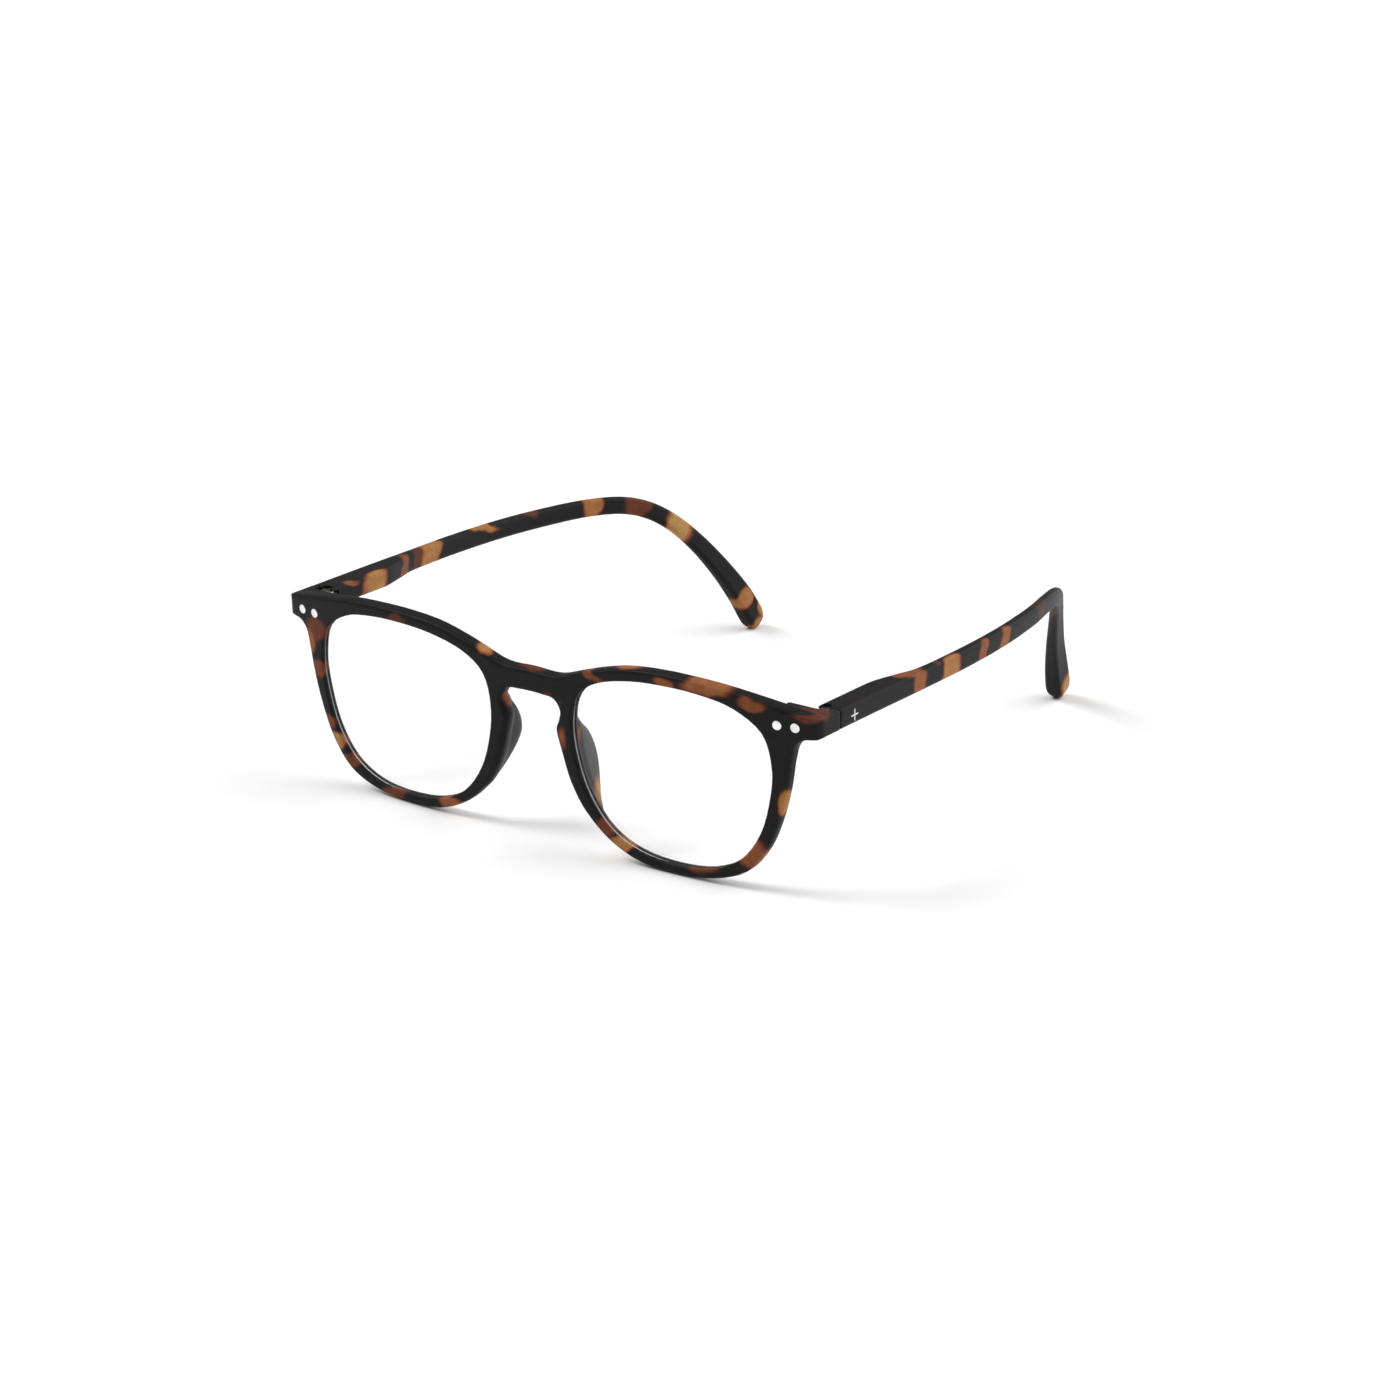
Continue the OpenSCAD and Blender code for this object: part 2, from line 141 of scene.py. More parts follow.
FRONT_DROP = set_back(36.0) * math.sin(FRONT_TILT)


def leaned(u, depth, height):
    """Drawing position of a point of the front, given across, behind the face, and up."""
    y = depth + set_back(u)
    c, s = math.cos(FRONT_TILT), math.sin(FRONT_TILT)
    return np.stack([u, y * c - height * s, y * s + height * c - FRONT_DROP], axis=-1)


def in_row(points):
    """Drawing position to the row frame, in metres."""
    return (np.asarray(points, float) - (0, PLAN_MIDDLE_Y, 0)) * MM


def polygon_distance(polygon, x, y):
    """Distance of points from a closed outline, negative inside."""
    best = np.full(x.shape, 1e9)
    inside = np.zeros(x.shape, bool)
    for (ax, ay), (bx, by) in zip(polygon, np.roll(polygon, -1, axis=0)):
        ex, ey = bx - ax, by - ay
        wx, wy = x - ax, y - ay
        t = np.clip((wx * ex + wy * ey) / max(ex * ex + ey * ey, 1e-12), 0, 1)
        best = np.minimum(best, (wx - t * ex) ** 2 + (wy - t * ey) ** 2)
        if ay != by:
            inside ^= ((ay <= y) != (by <= y)) & (wx < wy / ey * ex)
    return np.where(inside, -1, 1) * np.sqrt(best)


def both(a, b, r):
    """Where two solids overlap, with the edge between them rounded to radius r."""
    return np.minimum(-r, np.maximum(a, b)) + np.hypot(np.maximum(a + r, 0), np.maximum(b + r, 0))


def either(a, b, r):
    """Two solids joined, with a fillet of radius r."""
    return np.maximum(r, np.minimum(a, b)) - np.hypot(np.maximum(r - a, 0), np.maximum(r - b, 0))


def sampled(f, p):
    """Value of the field f between its grid points."""
    top = np.array(f.shape) - 2
    i = np.clip(np.floor(p).astype(int), 0, top)
    t = p - i
    total = 0
    for c in np.ndindex(2, 2, 2):
        w = np.prod(np.where(c, t, 1 - t), axis=1)
        total = total + w * f[tuple((i + c).T)]
    return total


def surface_of(f, low, step):
    """Points and four-sided faces on the zero level of the field f."""
    inside = f < 0
    shape = np.array(f.shape) - 1
    some = np.zeros(shape, bool)
    every = np.ones(shape, bool)
    for c in np.ndindex(2, 2, 2):
        v = inside[tuple(slice(k, k + n) for k, n in zip(c, shape))]
        some |= v
        every &= v
    active = some & ~every
    cells = np.argwhere(active)
    total = np.zeros((len(cells), 3))
    count = np.zeros(len(cells))
    for c in np.ndindex(2, 2, 2):
        for axis in range(3):
            if c[axis]:
                continue
            e = tuple(1 if k == axis else c[k] for k in range(3))
            fa = f[tuple((cells + c).T)]
            fb = f[tuple((cells + e).T)]
            hit = (fa < 0) != (fb < 0)
            t = fa[hit] / (fa[hit] - fb[hit])
            total[hit] += np.array(c) + t[:, None] * (np.array(e) - c)
            count[hit] += 1
    points = cells + total / count[:, None]
    index = np.full(active.shape, -1)
    index[active] = np.arange(len(cells))
    faces = []
    for axis in range(3):
        order = (axis, (axis + 1) % 3, (axis + 2) % 3)
        s, k = inside.transpose(order), index.transpose(order)
        first, second = s[:-1, 1:-1, 1:-1], s[1:, 1:-1, 1:-1]
        for mask, turn in ((first & ~second, 1), (second & ~first, -1)):
            a, b, c = np.argwhere(mask).T
            quad = np.stack([k[a, b, c], k[a, b + 1, c], k[a, b + 1, c + 1], k[a, b, c + 1]], 1)
            faces.append(quad[:, ::turn])
    # Each point moves onto the surface itself, by no more than half a grid step at a time
    half, damping = 0.5, 0.8
    for _ in range(3):
        value = sampled(f, points)
        slope = np.stack([
            (sampled(f, points + np.eye(3)[k] * half) - sampled(f, points - np.eye(3)[k] * half))
            for k in range(3)
        ], 1)
        move = value[:, None] * slope / np.maximum((slope ** 2).sum(1), 1e-9)[:, None]
        points -= np.clip(move, -half, half) * damping
    return low + points * step, np.concatenate(faces)


# ---------- Making objects ----------

def piece(name, points, faces, body, slot, *nodes):
    """A mesh piece that rides on a body and stands for CAD nodes."""
    mesh = bpy.data.meshes.new(name)
    mesh.from_pydata(np.asarray(points).tolist(), [], [list(map(int, f)) for f in faces])
    mesh.validate()
    mesh.shade_smooth()
    obj = bpy.data.objects.new(name, mesh)
    bpy.context.scene.collection.objects.link(obj)
    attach(obj, body)
    if nodes:
        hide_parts(*nodes)
    return obj


def sweep_faces(rings, around):
    """Faces of a tube of rings, with its two ends closed."""
    faces = [
        (i * around + j, i * around + (j + 1) % around,
         (i + 1) * around + (j + 1) % around, (i + 1) * around + j)
        for i in range(rings - 1) for j in range(around)
    ]
    faces.append(tuple(range(around))[::-1])
    faces.append(tuple((rings - 1) * around + j for j in range(around)))
    return faces


def on_side(sign, points, faces):
    """The right piece on either side. The left one is mirrored, so its faces turn round."""
    return points * (sign, 1, 1), faces if sign > 0 else [f[::-1] for f in faces]


# ---------- Materials ----------

def new_material(name):
    material = bpy.data.materials.new(name)
    material.use_nodes = True
    tree = material.node_tree
    return material, tree, tree.nodes["Principled BSDF"]


def add(tree, kind, **settings):
    made = tree.nodes.new(kind)
    for key, value in settings.items():
        setattr(made, key, value)
    return made


def noise(tree, vector, scale, detail=3.0, roughness=0.5):
    made = add(tree, "ShaderNodeTexNoise")
    made.inputs["Scale"].default_value = scale
    made.inputs["Detail"].default_value = detail
    made.inputs["Roughness"].default_value = roughness
    tree.links.new(vector, made.inputs["Vector"])
    return made


def remap(tree, value, low, high, to_low, to_high, kind="LINEAR"):
    made = add(tree, "ShaderNodeMapRange", interpolation_type=kind)
    for k, v in zip(("From Min", "From Max", "To Min", "To Max"), (low, high, to_low, to_high)):
        made.inputs[k].default_value = v
    tree.links.new(value, made.inputs["Value"])
    return made.outputs["Result"]


def bumped(tree, shader, height, strength, distance):
    bump = add(tree, "ShaderNodeBump")
    bump.inputs["Strength"].default_value = strength
    bump.inputs["Distance"].default_value = distance
    tree.links.new(height, bump.inputs["Height"])
    tree.links.new(bump.outputs["Normal"], shader.inputs["Normal"])


def millimetres(tree):
    """Object coordinates in millimetres, so that they stay with the piece as it moves."""
    coords = add(tree, "ShaderNodeTexCoord")
    scale = add(tree, "ShaderNodeVectorMath", operation="SCALE")
    scale.inputs["Scale"].default_value = 1 / MM
    tree.links.new(coords.outputs["Object"], scale.inputs[0])
    return scale.outputs["Vector"]


def ramp(tree, value, stops):
    made = add(tree, "ShaderNodeValToRGB")
    elements = made.color_ramp.elements
    while len(elements) < len(stops):
        elements.new(0.5)
    for e, (at, colour) in zip(elements, stops):
        e.position = at
        e.color = (*colour, 1)
    tree.links.new(value, made.inputs["Fac"])
    return made.outputs["Color"]


# Tortoiseshell's colour, from near-black at lightness 0 to gold at 1
SHELL_STOPS = [
    (0.0, (0.0062, 0.0058, 0.0056)),
    (0.2, (0.008, 0.0064, 0.0058)),
    (0.34, (0.045, 0.012, 0.0075)),
    (0.5, (0.14, 0.036, 0.013)),
    (0.66, (0.25, 0.08, 0.025)),
    (0.84, (0.33, 0.145, 0.042)),
    (1.0, (0.43, 0.24, 0.085)),
]
# How far the clouds push the patches' outlines about, across, back and up
SHELL_WARP = (2.4, 5.0, 5.0)
# Distance, in a patch's own radii, at which it starts and at which it is at its lightest
PATCH_OUTSIDE, PATCH_INSIDE = 1.25, 0.62
TEMPLE_SLANT = math.radians(20)


def shell_material(name, patches, slant=0.0):
    """Matte tortoiseshell: near-black, with patches that go from red-brown to gold at their
    middle. A patch is its centre, its three radii (drawing position, millimetres) and how light
    it is. A slant leans the tops of the patches back."""
    material, tree, shader = new_material(name)
    place = millimetres(tree)
    cloud = noise(tree, place, 0.12, 2.0, 0.45)
    shift = add(tree, "ShaderNodeVectorMath", operation="MULTIPLY_ADD")
    shift.inputs[1].default_value = SHELL_WARP
    shift.inputs[2].default_value = [-w / 2 for w in SHELL_WARP]
    tree.links.new(cloud.outputs["Color"], shift.inputs[0])
    warped = add(tree, "ShaderNodeVectorMath", operation="ADD")
    tree.links.new(place, warped.inputs[0])
    tree.links.new(shift.outputs["Vector"], warped.inputs[1])
    mottle = noise(tree, place, 0.11, 2.0)
    level = remap(tree, mottle.outputs["Fac"], 0.66, 0.85, 0.0, 0.3, "SMOOTHSTEP")
    for (x, y, z), radii, light in patches:
        local = add(tree, "ShaderNodeMapping", vector_type="TEXTURE")
        local.inputs["Location"].default_value = (x, y - PLAN_MIDDLE_Y, z)
        local.inputs["Rotation"].default_value = (-slant, 0, 0)
        local.inputs["Scale"].default_value = radii
        tree.links.new(warped.outputs["Vector"], local.inputs["Vector"])
        far = add(tree, "ShaderNodeVectorMath", operation="LENGTH")
        tree.links.new(local.outputs["Vector"], far.inputs[0])
        near = remap(
            tree, far.outputs["Value"], PATCH_OUTSIDE, PATCH_INSIDE, 0.0, light, "SMOOTHSTEP")
        most = add(tree, "ShaderNodeMath", operation="MAXIMUM")
        tree.links.new(level, most.inputs[0])
        tree.links.new(near, most.inputs[1])
        level = most.outputs["Value"]
    streak = noise(tree, place, 0.5, 2.0, 0.5)
    uneven = remap(tree, streak.outputs["Fac"], 0.3, 0.7, 0.9, 1.06)
    product = add(tree, "ShaderNodeMath", operation="MULTIPLY")
    tree.links.new(level, product.inputs[0])
    tree.links.new(uneven, product.inputs[1])
    tree.links.new(ramp(tree, product.outputs["Value"], SHELL_STOPS), shader.inputs["Base Color"])
    grain = noise(tree, place, 9.0, 2.0, 0.6)
    tree.links.new(
        remap(tree, grain.outputs["Fac"], 0.3, 0.7, 0.46, 0.56), shader.inputs["Roughness"])
    bumped(tree, shader, grain.outputs["Fac"], 0.12, 0.00003)
    shader.inputs["Specular IOR Level"].default_value = 0.13
    shader.inputs["Sheen Weight"].default_value = 0.04
    shader.inputs["Sheen Roughness"].default_value = 0.4
    return material


def speckled(name, scale, detail, dark, light):
    """Opaque, with a mottle between two greys. Each grey is its place on the noise's scale and
    its colour."""
    material, tree, shader = new_material(name)
    speck = noise(tree, millimetres(tree), scale, detail)
    shade = ramp(tree, speck.outputs["Fac"], [dark, light])
    tree.links.new(shade, shader.inputs["Base Color"])
    return material, shader


def metal_material(name, colour, roughness, brush=(1.0, 1.0, 1.0)):
    """Satin metal, with the fine brushing that the axis scales stretch."""
    material, tree, shader = new_material(name)
    stretch = add(tree, "ShaderNodeVectorMath", operation="MULTIPLY")
    stretch.inputs[1].default_value = brush
    tree.links.new(millimetres(tree), stretch.inputs[0])
    fine = noise(tree, stretch.outputs["Vector"], 6.0, 4.0, 0.6)
    wide = noise(tree, stretch.outputs["Vector"], 0.9, 2.0)
    darker = [c * 0.82 for c in colour]
    shade = ramp(tree, wide.outputs["Fac"], [(0.3, darker), (0.65, colour)])
    tree.links.new(shade, shader.inputs["Base Color"])
    tree.links.new(
        remap(tree, fine.outputs["Fac"], 0.3, 0.7, roughness - 0.07, roughness + 0.09),
        shader.inputs["Roughness"])
    bumped(tree, shader, fine.outputs["Fac"], 0.15, 0.00002)
    shader.inputs["Metallic"].default_value = 1.0
    return material


def lens_material():
    """Clear plastic, with a faint unevenness. Its shadow is light, as a lens's is."""
    material, tree, shader = new_material("lens_clear")
    shader.inputs["Base Color"].default_value = (1, 1, 1, 1)
    shader.inputs["Transmission Weight"].default_value = 1.0
    shader.inputs["IOR"].default_value = 1.5
    place = millimetres(tree)
    haze = noise(tree, place, 0.05, 2.0)
    tree.links.new(
        remap(tree, haze.outputs["Fac"], 0.3, 0.7, 0.0, 0.02), shader.inputs["Roughness"])
    clear = add(tree, "ShaderNodeBsdfTransparent")
    clear.inputs["Color"].default_value = (0.96, 0.965, 0.97, 1)
    path = add(tree, "ShaderNodeLightPath")
    mix = add(tree, "ShaderNodeMixShader")
    tree.links.new(path.outputs["Is Shadow Ray"], mix.inputs["Fac"])
    tree.links.new(shader.outputs["BSDF"], mix.inputs[1])
    tree.links.new(clear.outputs["BSDF"], mix.inputs[2])
    tree.links.new(mix.outputs["Shader"], tree.nodes["Material Output"].inputs["Surface"])
    return material


# Patches, in the drawing position: centre, radii, lightness (0.4 red-brown, 0.6 orange, 1 gold)
FRONT_PATCHES = [
    ((-61.5, 2, 35), (4.4, 8, 4), 0.48), ((-64.8, 2, 31.5), (2.6, 8, 3.4), 0.68),
    ((-61.5, 2, 26), (2.6, 8, 2.4), 0.52), ((-59.5, 2, 13.5), (3, 8, 2.6), 0.56),
    ((-57.2, 2, 9.2), (3, 8, 2.4), 0.86), ((-53, 2, 5), (3, 8, 2), 0.5),
    ((-40, 2, 1), (4, 8, 1.8), 0.5), ((-23.5, 2, 2.6), (4, 8, 2.4), 0.66),
    ((-36, 1, 43), (3.6, 6, 1.6), 0.4), ((-12, 1, 41.4), (3, 6, 1.6), 0.86),
    ((0, 1, 39.3), (4.5, 6, 1.2), 0.45), ((4, 3, 34.4), (4.2, 5, 2.7), 0.86),
    ((8, 3, 33.4), (2, 5, 2), 0.52), ((-7, 3, 31), (2, 5, 3), 0.56),
    ((16, 1, 41.4), (5, 6, 1.4), 0.54), ((25, 2, 44.6), (4.5, 6, 1.3), 0.78),
    ((35, 1, 43.6), (3.6, 6, 1.6), 0.62), ((45, 2, 43.8), (7, 8, 2.6), 0.7),
    ((56, 2, 42.4), (4, 8, 2), 0.56), ((67, 5, 41), (5, 7, 1.3), 0.42),
    ((8.4, 3, 25), (2.2, 5, 4.4), 0.85), ((18.5, 2, 6), (3, 8, 2.6), 0.5),
    ((22.6, 2, 3.4), (3.4, 8, 2.2), 0.84), ((43, 2, 3), (5, 8, 1.8), 0.46),
    ((55, 2, 8.8), (4.4, 8, 4), 0.64), ((63.4, 4, 20), (2, 5, 4.6), 0.85),
    ((14.5, 6, 12), (3, 3.5, 4.6), 0.84), ((-12.6, 6, 12), (2.4, 3, 2.6), 0.5),
]
RIGHT_PATCHES = [
    ((68.5, 38, 41.3), (5, 7, 1.3), 0.62), ((71.4, 40.4, 37.6), (2.4, 2.8, 6), 0.66),
    ((71.4, 53, 38), (2.6, 3.6, 9), 0.84), ((69, 47.5, 41.2), (5, 3, 1.2), 0.44),
    ((71.2, 66.2, 38), (2.6, 2, 9), 0.62), ((70.2, 77.2, 38), (3, 3.2, 9), 0.66),
    ((64, 97, 38), (4, 5, 4), 0.34), ((52, 122, 29), (4, 3, 4), 0.36),
    ((46.5, 143.4, 3.4), (4, 3.8, 5), 0.95),
]
LEFT_PATCHES = [
    ((-64, 26, 38), (2.6, 4.4, 9), 0.9), ((-64.6, 17, 41.2), (2, 5, 1.1), 0.6),
    ((-66, 38.6, 38), (4, 2.1, 9), 0.54), ((-68, 44.6, 38), (5, 2.6, 9), 0.42),
    ((-68, 49.6, 38), (5, 4.2, 9), 0.86), ((-69, 57, 41.6), (4, 4, 1.6), 0.42),
    ((-69, 67, 41.2), (4, 8, 1.5), 0.84), ((-67, 84, 41), (4, 4, 2.5), 0.42),
    ((-61.5, 103, 38), (5, 3, 4), 0.8), ((-57, 115, 36), (5, 4, 4), 0.48),
    ((-52.5, 124.3, 28.5), (5, 4.8, 5), 0.96), ((-43.5, 138.6, 9), (5, 3, 3.4), 0.8),
    ((-43.5, 144.6, 5), (5, 2.4, 4.4), 0.95), ((-43.5, 143, 0.6), (5, 3, 2), 0.85),
]

# ---------- Front ----------

GRID = 0.25
# The grid goes a little past the front's right half: across, up and back
u_line = np.arange(0, 71.6, GRID)
w_line = np.arange(-0.8, 45.6, GRID)
d_line = np.arange(-0.8, 11.6, GRID)
opening = smooth_curve(OPENING, 4, closed=True)
half_outline = np.concatenate([
    smooth_curve(TOP_EDGE, 4), np.array(END_EDGE, float), smooth_curve(LOWER_EDGE, 4)])
outline = np.concatenate([half_outline, half_outline[-2:0:-1] * (-1, 1)])

# Radii of the front's edges: round its face, in the openings, along the end pieces, down their
# front corners, and at the seam to the temple
FACE_R, OPENING_R, END_R, CORNER_R, SEAM_R = 0.95, 0.5, 0.8, 2.2, 0.2
# The back edge is rounder below the first height than above the second
BACK_EDGE_HEIGHTS, BACK_EDGE_R = (30, 38), (1.5, 0.7)
# The nose pad's rounding at its upper and lower end, and its fillet to the rim
PAD_END_R, PAD_FILLET = 1.0, 0.9
END_FILLET = 0.5
END_INNER_X = HALF_WIDTH - 11.7
# The end piece starts this far behind the face, and its plan runs this far past the side
END_START, END_PAST = 0.4, 5
POCKET_WALL = 0.7
LENS_PLAY = 0.02
# The pad field's value away from the pad
FAR_OUTSIDE = 5.0


def pad_field():
    """The nose pad as a field, worked out one level at a time."""
    levels = smooth_curve([PAD[0], *PAD, PAD[-1]], 6)[::-1]
    near, rear, deep = (np.interp(w_line, levels[:, 0], levels[:, k]) for k in (1, 2, 3))
    field = np.full((len(u_line), len(w_line), len(d_line)), FAR_OUTSIDE)
    u, d = np.meshgrid(u_line, d_line, indexing="ij")
    for k in np.flatnonzero((w_line > PAD[-1][0] - 1) & (w_line < PAD[0][0] + 1)):
        n, r, e = near[k], rear[k], deep[k]
        # Across and back: up the lens side, round the rear edge and down the nose side to the rim
        section = smooth_curve([
            (r + 1.4, e * 0.62 + 0.5), (r + 1.1, e - 0.5), (r + 0.5, e), (r - 0.1, e - 0.3),
            (n + (r - n) * 0.6 - 0.3, (e + 2) * 0.6), (n + 0.1, 2.6), (n, 1), (n + 2, 1),
            (n + 2.2, 3)], 3, closed=True)
        field[:, k, :] = polygon_distance(section, u, d)
    return field


def end_piece_field(x, y, z, d):
    """The end piece behind the rim, whose plan ends at the seam and under the roof."""
    beyond = HALF_WIDTH + END_PAST
    plan = np.array([
        (END_INNER_X, 0), (beyond, 0), (beyond, SEAM_Y), (CHEEK_X, SEAM_Y),
        (CHEEK_X, ROOF_BACK_Y), (END_INNER_X, ROOF_BACK_Y)])
    level = abs(z - HINGE_Z) - TEMPLE_HEIGHT / 2
    block = both(x - HALF_WIDTH, level, END_R)
    block = both(block, polygon_distance(plan, x, y), SEAM_R)
    return np.maximum(block, END_START - d)


def front_field():
    """The right half of the front as a field: rim, bridge, end piece and nose pad."""
    u2, w2 = np.meshgrid(u_line, w_line, indexing="ij")
    outer = polygon_distance(outline, u2, w2)[:, :, None]
    hole = polygon_distance(opening, u2, w2)[:, :, None]
    u, w, d = np.meshgrid(u_line, w_line, d_line, indexing="ij")
    back_r = np.interp(w, BACK_EDGE_HEIGHTS, BACK_EDGE_R)
    solid = np.maximum(both(outer, -d, FACE_R), both(outer, d - RIM_DEPTH, back_r))
    pad = both(pad_field(), np.maximum(w - PAD[0][0], PAD[-1][0] - w), PAD_END_R)
    solid = either(solid, pad, PAD_FILLET)
    place = leaned(u, d, w)
    x, y, z = place[..., 0], place[..., 1], place[..., 2]
    solid = either(solid, end_piece_field(x, y, z, d), END_FILLET)
    pocket = np.maximum(
        np.maximum(SHELF_Y - y, abs(z - HINGE_Z) - POCKET_HEIGHT / 2),
        np.maximum(END_INNER_X + POCKET_WALL - x, x - CHEEK_X))
    solid = np.maximum(solid, -pocket)
    solid = np.maximum(solid, both(x - HALF_WIDTH, -d, CORNER_R))
    solid = both(solid, -hole + 0 * d, OPENING_R)
    groove = np.maximum(
        hole - GROOVE_DEPTH,
        abs(d - LENS_SETBACK - LENS_THICKNESS / 2) - LENS_THICKNESS / 2 - LENS_PLAY)
    return np.maximum(solid, -groove)


half = front_field()
whole = np.concatenate([half[:0:-1], half])
points, faces = surface_of(whole, np.array([-u_line[-1], w_line[0], d_line[0]]), GRID)
# The grid's axes are across, up, back: a left-handed order, so the faces turn round
front_shell = piece(
    "front_shell", in_row(leaned(points[:, 0], points[:, 2], points[:, 1])), faces[:, ::-1],
    "front", "tortoiseshell", "front_frame")
front_shell.data.materials.append(shell_material("tortoiseshell_front", FRONT_PATCHES))

# ---------- Lenses ----------

lens_clear = lens_material()
# The lens's edge is a mottled light grey: a painted highlight, standing in for the light its bevel
# catches
edge_highlight, shader = speckled(
    "lens_rim_painted_highlight", 4.0, 3.0, (0.3, (0.5, 0.51, 0.52)), (0.7, (0.66, 0.67, 0.68)))
shader.inputs["Roughness"].default_value = 0.6
# Rings from the middle of a face to its rim, and the share of the way at which they start
RIM_RING = 13
FIRST_SHARE = 0.04
# The edge's bevel: how far in it starts and how wide it is. The edge clears the groove's floor
BEVEL_IN, BEVEL_WIDTH, EDGE_PLAY = 0.35, 0.45, 0.03
# How far forward the middle of each face stands: the front is domed and the back is hollow
FRONT_DOME, BACK_HOLLOW = 0.55, 0.4
around = len(opening)
tangent = np.roll(opening, -1, axis=0) - np.roll(opening, 1, axis=0)
outward = np.stack([tangent[:, 1], -tangent[:, 0]], 1) / np.linalg.norm(tangent, axis=1)[:, None]


def lens_points():
    """Rings from the middle of the front surface, over the bevelled edge, to the back."""
    centre = opening.mean(axis=0)
    shares = np.linspace(FIRST_SHARE, 1, RIM_RING + 1)
    rim = opening + outward * (GROOVE_DEPTH - BEVEL_IN)
    edge = opening + outward * (GROOVE_DEPTH - EDGE_PLAY)
    rings = []
    for share in shares:
        depth = LENS_SETBACK - FRONT_DOME * (1 - share ** 2)
        rings.append((centre + (rim - centre) * share, depth))
    rings.append((edge, LENS_SETBACK + BEVEL_WIDTH))
    rings.append((edge, LENS_SETBACK + LENS_THICKNESS - BEVEL_WIDTH))
    for share in shares[::-1]:
        depth = LENS_SETBACK + LENS_THICKNESS - BACK_HOLLOW * (1 - share ** 2)
        rings.append((centre + (rim - centre) * share, depth))
    return np.concatenate([
        leaned(r[:, 0], np.full(around, depth), r[:, 1]) for r, depth in rings]), len(rings)


for side, sign in SIDES.items():
    p, rings = lens_points()
    # The rings run towards the back, so the faces turn round
    p, faces = on_side(sign, p, [f[::-1] for f in sweep_faces(rings, around)])
    lens = piece(f"{side}_lens_clear", in_row(p), faces, "front", "lens", f"{side}_lens")
    lens.data.set_sharp_from_angle(angle=math.radians(30))
    lens.data.materials.append(lens_clear)
    lens.data.materials.append(edge_highlight)
    # The bevels and the flat between them, which take the edge's light grey: a painted highlight
    for face in lens.data.polygons:
        if RIM_RING <= face.index // around < RIM_RING + 3:
            face.material_index = 1

# ---------- Rivets ----------

RIVET_STEPS = 40
# Radius, and height from the front's face: the shank's end, the shank, and the domed head
RIVET_PROFILE = [
    (0.0, -5.6), (0.55, -5.6), (0.68, -5.5), (0.7, -5.4), (0.7, -1.6), (0.98, -1.55), (1.03, -1.5),
    (1.03, -0.02), (1.0, 0.03), (0.92, 0.055), (0.7, 0.07), (0.4, 0.078), (0.0, 0.08),
]
# The shank's end that goes straight back through the hinge leaf: radius, and distance from TAIL_Y
TAIL_PROFILE = [(0.0, 0.0), (0.7, 0.0), (0.7, 1.36), (0.66, 1.42), (0.5, 1.47), (0.0, 1.49)]
TAIL_Y = SHELF_Y - 0.3
rivet_metal = metal_material("rivet_satin", (0.9, 0.9, 0.89), 0.38)


def lathe(profile, steps):
    """Points and faces of a turned piece along +Z. The profile starts and ends on the axis."""
    angles = np.arange(steps) * 2 * math.pi / steps
    points = [(0, 0, profile[0][1])]
    for r, h in profile[1:-1]:
        points += [(r * math.cos(a), r * math.sin(a), h) for a in angles]
    points.append((0, 0, profile[-1][1]))
    last = len(points) - 1
    faces = []
    for i in range(len(profile) - 3):
        a, b = 1 + i * steps, 1 + (i + 1) * steps
        faces += [(a + j, a + (j + 1) % steps, b + (j + 1) % steps, b + j) for j in range(steps)]
    faces += [(0, 1 + (j + 1) % steps, 1 + j) for j in range(steps)]
    a = last - steps
    faces += [(last, a + j, a + (j + 1) % steps) for j in range(steps)]
    return np.array(points), faces


for side, sign in SIDES.items():
    for which, inset in RIVET_INSETS.items():
        p, faces = lathe(RIVET_PROFILE, RIVET_STEPS)
        u = HALF_WIDTH - inset
        height = (RIVET_Z + FRONT_DROP) / math.cos(FRONT_TILT)
        on_face = leaned(np.array(u), np.array(0.0), np.array(height))
        slope = (set_back(u + 0.1) - set_back(u - 0.1)) / 0.2
        out = Vector((slope, -1, -math.sin(FRONT_TILT))).normalized()
        turn = np.array(out.to_track_quat("Z", "Y").to_matrix())
        p = p @ turn.T + on_face
        tail, tail_faces = lathe(TAIL_PROFILE, RIVET_STEPS)
        tail = np.stack([tail[:, 0], tail[:, 2], -tail[:, 1]], 1) + (u, TAIL_Y, RIVET_Z)
        faces += [tuple(k + len(p) for k in f) for f in tail_faces]
        p, faces = on_side(sign, np.concatenate([p, tail]), faces)
        rivet = piece(f"{side}_{which}_rivet_turned", in_row(p), faces, "front", "rivet",
                      f"{side}_{which}_rivet")
        rivet.data.set_sharp_from_angle(angle=math.radians(50))
        rivet.data.materials.append(rivet_metal)

# ---------- Temples ----------

PER_SPAN = 10
CORNER_STEPS = 7
EDGE_R = 1.0
# The small rounded edge of the butt end: how far along it is, and how far in
BUTT_EDGE = [(0.0, 0.2), (0.03, 0.1), (0.1, 0.03), (0.2, 0.0)]
# The tip is blunt: over its last spans it narrows late, as a round nose does
TIP_SPANS, TIP_LATE, TIP_ROUND, TIP_LEAST = 2, 2.2, 0.48, 0.1
# The outer face leaves room for the mark
OUTER_FACE_X = HALF_WIDTH - 0.015
POCKET_WIDTH = 6
# Room for the spring cassette, with its play
SLOT_HALF_WIDTH, SLOT_HALF_HEIGHT, SLOT_LENGTH = 1.37, 1.57, 17.02
SCREW_HOLE_HEIGHT = 4


